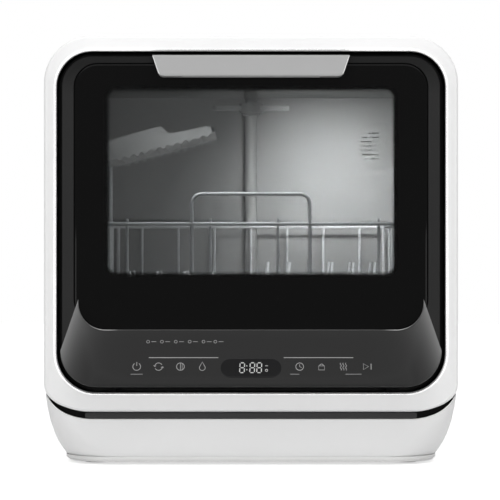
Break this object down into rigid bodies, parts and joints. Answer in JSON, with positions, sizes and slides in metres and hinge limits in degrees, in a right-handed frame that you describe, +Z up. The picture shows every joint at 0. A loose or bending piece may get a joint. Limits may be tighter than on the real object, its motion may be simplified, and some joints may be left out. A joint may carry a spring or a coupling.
{
  "type": "countertop dishwasher",
  "caption": "Compact front-opening dishwasher with a rounded white casing, drop-down glass door, sliding wire basket, spray arms and a water tank.",
  "frame": {"origin": "on the surface that the feet stand on, at the middle of the overall box", "axes": "+X to the right and +Z up as one faces the door, which faces -Y"},
  "size_m": [0.42, 0.435, 0.435],
  "materials": {
    "casing_white": "satin white",
    "base_white": "satin",
    "strip_dark": "satin",
    "back_white": "powder coated",
    "rubber_black": "matt",
    "gasket_rubber": "matt",
    "steel": "brushed",
    "zinc_screw": "bright",
    "grey_plastic": "satin",
    "pump_plastic": "satin",
    "motor_metal": "satin",
    "heater_metal": "satin",
    "tank_plastic": "translucent look",
    "valve_plastic": "satin",
    "box_plastic": "satin",
    "fan_black": "satin",
    "door_dark": "satin",
    "panel_dark": "satin",
    "door_glass": "black print round a tinted window",
    "clear_glass": "clear",
    "display_glass": "dark tinted",
    "symbol_print": "printed",
    "board_green": "matt",
    "handle_metal": "satin",
    "wire_chrome": "plated"
  },
  "bodies": {
    "cabinet": {"rubber_feet": "rubber_black", "base_plate": "base_white", "base_tray": "base_white", "accent_strip": "strip_dark", "casing_shell": "casing_white", "front_frame": "casing_white", "back_panel": "back_white", "casing_screws": "zinc_screw", "tub": "steel", "tub_gasket": "gasket_rubber", "basket_rails": "grey_plastic", "sump": "pump_plastic", "coarse_filter": "steel", "spray_post": "grey_plastic", "arm_retainer": "grey_plastic", "riser_pipe": "grey_plastic", "riser_hose": "rubber_black", "heater": "heater_metal", "wash_pump": "pump_plastic", "wash_motor": "motor_metal", "drain_pump": "pump_plastic", "drain_hose": "rubber_black", "drain_spigot": "pump_plastic", "inlet_valve": "valve_plastic", "inlet_connector": "zinc_screw", "water_tank": "tank_plastic", "tank_hose": "rubber_black", "fill_neck": "grey_plastic", "fan_housing": "fan_black", "vent_grille": "fan_black", "power_box": "box_plastic", "cable_gland": "fan_black", "hinge_arms": "steel", "hinge_pins": "steel", "latch_catch": "fan_black"},
    "door": {"door_frame": "door_dark", "door_glass": "door_glass", "control_panel": "panel_dark", "display_board": "board_green", "display_window": "display_glass", "touch_symbols": "symbol_print", "pull_handle": "handle_metal", "inner_panel": "steel", "inner_glass": "clear_glass", "latch_hook": "fan_black", "detergent_cup": "grey_plastic"},
    "detergent_lid": {"detergent_lid": "grey_plastic"},
    "basket": {"basket_floor": "wire_chrome", "basket_ends": "wire_chrome", "basket_sides": "wire_chrome", "basket_tines": "wire_chrome", "basket_glides": "grey_plastic"},
    "basket_shelf": {"basket_shelf": "grey_plastic"},
    "lower_spray_arm": {"lower_spray_arm": "grey_plastic"},
    "upper_spray_arm": {"upper_spray_arm": "grey_plastic"},
    "filter_cup": {"filter_cup": "grey_plastic"},
    "wash_impeller": {"wash_impeller": "grey_plastic"},
    "drain_impeller": {"drain_impeller": "grey_plastic"},
    "fan_impeller": {"fan_impeller": "fan_black"},
    "fill_cap": {"fill_cap": "grey_plastic"}
  },
  "joints": [
    {"name": "door_hinge", "type": "hinge", "parent": "cabinet", "child": "door", "pos_m": [0, -0.206, 0.087], "axis": [1, 0, 0], "range_deg": [0, 90]},
    {"name": "basket_slide", "type": "slide", "parent": "cabinet", "child": "basket", "axis": [0, -1, 0], "range_m": [0, 0.1]},
    {"name": "shelf_hinge", "type": "hinge", "parent": "basket", "child": "basket_shelf", "pos_m": [-0.158, -0.0282, 0.318], "axis": [0, -1, 0], "range_deg": [0, 20]},
    {"name": "lower_arm_spin", "type": "hinge", "parent": "cabinet", "child": "lower_spray_arm", "pos_m": [0, -0.011, 0.14], "axis": [0, 0, 1], "continuous": true},
    {"name": "upper_arm_spin", "type": "hinge", "parent": "cabinet", "child": "upper_spray_arm", "pos_m": [0, -0.011, 0.374], "axis": [0, 0, 1], "continuous": true},
    {"name": "filter_twist", "type": "hinge", "parent": "cabinet", "child": "filter_cup", "pos_m": [0, -0.09497, 0.125], "axis": [0, 0, 1], "range_deg": [0, 60]},
    {"name": "lid_slide", "type": "slide", "parent": "door", "child": "detergent_lid", "axis": [-1, 0, 0], "range_m": [0, 0.06]},
    {"name": "wash_pump_spin", "type": "hinge", "parent": "cabinet", "child": "wash_impeller", "pos_m": [0, -0.011, 0.0899], "axis": [0, 1, 0], "continuous": true},
    {"name": "drain_pump_spin", "type": "hinge", "parent": "cabinet", "child": "drain_impeller", "pos_m": [-0.081, -0.09497, 0.0849], "axis": [1, 0, 0], "continuous": true},
    {"name": "fan_spin", "type": "hinge", "parent": "cabinet", "child": "fan_impeller", "pos_m": [0.15, 0.165, 0.34], "axis": [0, 1, 0], "continuous": true},
    {"name": "cap_twist", "type": "hinge", "parent": "cabinet", "child": "fill_cap", "pos_m": [-0.12, 0.177, 0.4345], "axis": [0, 0, 1], "range_deg": [0, 90]}
  ],
  "couplings": [
    {"joint": "basket_slide", "follows": "door_hinge", "m_per_rad": 0.063656}
  ]
}
